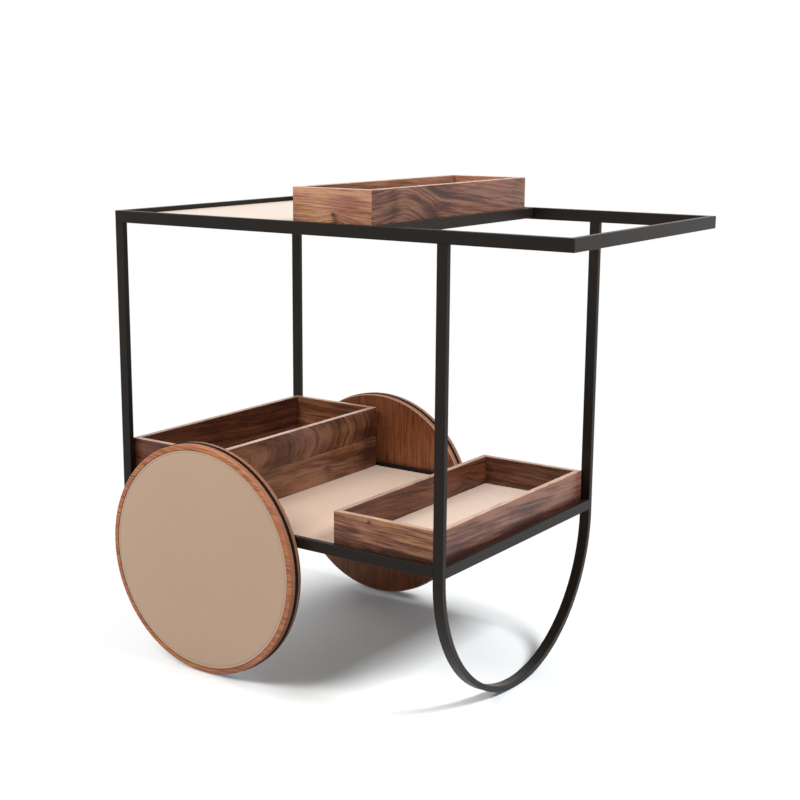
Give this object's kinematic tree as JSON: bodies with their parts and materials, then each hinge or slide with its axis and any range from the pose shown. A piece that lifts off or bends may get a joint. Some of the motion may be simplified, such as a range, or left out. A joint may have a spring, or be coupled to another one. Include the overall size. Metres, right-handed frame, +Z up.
{
  "type": "serving trolley",
  "caption": "Serving trolley with a black steel bar frame, push handle loop, leather shelves, large disc wheels at one end, a half-round hoop foot at the other and loose walnut trays.",
  "frame": {"origin": "on the floor under the middle of the bounding box", "axes": "+X along the trolley towards the push handle, +Y across it, +Z up"},
  "size_m": [0.87, 0.549, 0.828],
  "materials": {
    "black_steel": "satin powder coat",
    "beige_leather": "smooth, fine grain",
    "tray_walnut": "oiled walnut",
    "wheel_walnut": "oiled walnut veneer",
    "plywood": "raw birch plywood",
    "tyre_rubber": "matt black rubber",
    "bright_steel": "zinc plated",
    "nylon": "natural nylon"
  },
  "bodies": {
    "frame": {"axle": "bright_steel", "axle_collars": "bright_steel", "collar_grub_screws": "bright_steel", "end_washers": "bright_steel", "far_axle_bracket": "black_steel", "front_hoop": "black_steel", "front_leg_far": "black_steel", "front_leg_near": "black_steel", "handle_rail": "black_steel", "lower_board": "plywood", "lower_far_rail": "black_steel", "lower_front_rail": "black_steel", "lower_leather": "beige_leather", "lower_near_rail": "black_steel", "lower_rear_rail": "black_steel", "near_axle_bracket": "black_steel", "panel_screws": "bright_steel", "panel_tabs": "black_steel", "rear_leg_far": "black_steel", "rear_leg_near": "black_steel", "retaining_rings": "bright_steel", "thrust_washers": "nylon", "top_board": "plywood", "top_crossbar": "black_steel", "top_far_rail": "black_steel", "top_leather": "beige_leather", "top_near_rail": "black_steel", "top_rear_rail": "black_steel"},
    "deep_tray": {"deep_tray_base": "tray_walnut", "deep_tray_far_wall": "tray_walnut", "deep_tray_front_lower_board": "tray_walnut", "deep_tray_front_upper_board": "tray_walnut", "deep_tray_near_wall": "tray_walnut", "deep_tray_rear_lower_board": "tray_walnut", "deep_tray_rear_upper_board": "tray_walnut"},
    "far_wheel": {"far_wheel_hub": "bright_steel", "far_wheel_hub_screws": "bright_steel", "far_wheel_inner_disc": "wheel_walnut", "far_wheel_leather": "beige_leather", "far_wheel_outer_disc": "wheel_walnut", "far_wheel_tyre": "tyre_rubber"},
    "low_tray": {"low_tray_base": "tray_walnut", "low_tray_far_wall": "tray_walnut", "low_tray_front_wall": "tray_walnut", "low_tray_lining": "beige_leather", "low_tray_near_wall": "tray_walnut", "low_tray_rear_wall": "tray_walnut"},
    "near_wheel": {"near_wheel_hub": "bright_steel", "near_wheel_hub_screws": "bright_steel", "near_wheel_inner_disc": "wheel_walnut", "near_wheel_leather": "beige_leather", "near_wheel_outer_disc": "wheel_walnut", "near_wheel_tyre": "tyre_rubber"},
    "top_tray": {"top_tray_base": "tray_walnut", "top_tray_far_wall": "tray_walnut", "top_tray_front_wall": "tray_walnut", "top_tray_lining": "beige_leather", "top_tray_near_wall": "tray_walnut", "top_tray_rear_wall": "tray_walnut"}
  },
  "joints": [
    {"name": "near_wheel_spin", "type": "hinge", "parent": "frame", "child": "near_wheel", "pos_m": [-0.235, -0.2615, 0.2], "axis": [0, 1, 0], "continuous": true},
    {"name": "far_wheel_spin", "type": "hinge", "parent": "frame", "child": "far_wheel", "pos_m": [-0.235, 0.2615, 0.2], "axis": [0, 1, 0], "continuous": true},
    {"name": "deep_tray_lift", "type": "slide", "parent": "frame", "child": "deep_tray", "axis": [0, 0, 1], "range_m": [0, 0.12]},
    {"name": "low_tray_lift", "type": "slide", "parent": "frame", "child": "low_tray", "axis": [0, 0, 1], "range_m": [0, 0.12]},
    {"name": "top_tray_lift", "type": "slide", "parent": "frame", "child": "top_tray", "axis": [0, 0, 1], "range_m": [0, 0.12]}
  ]
}
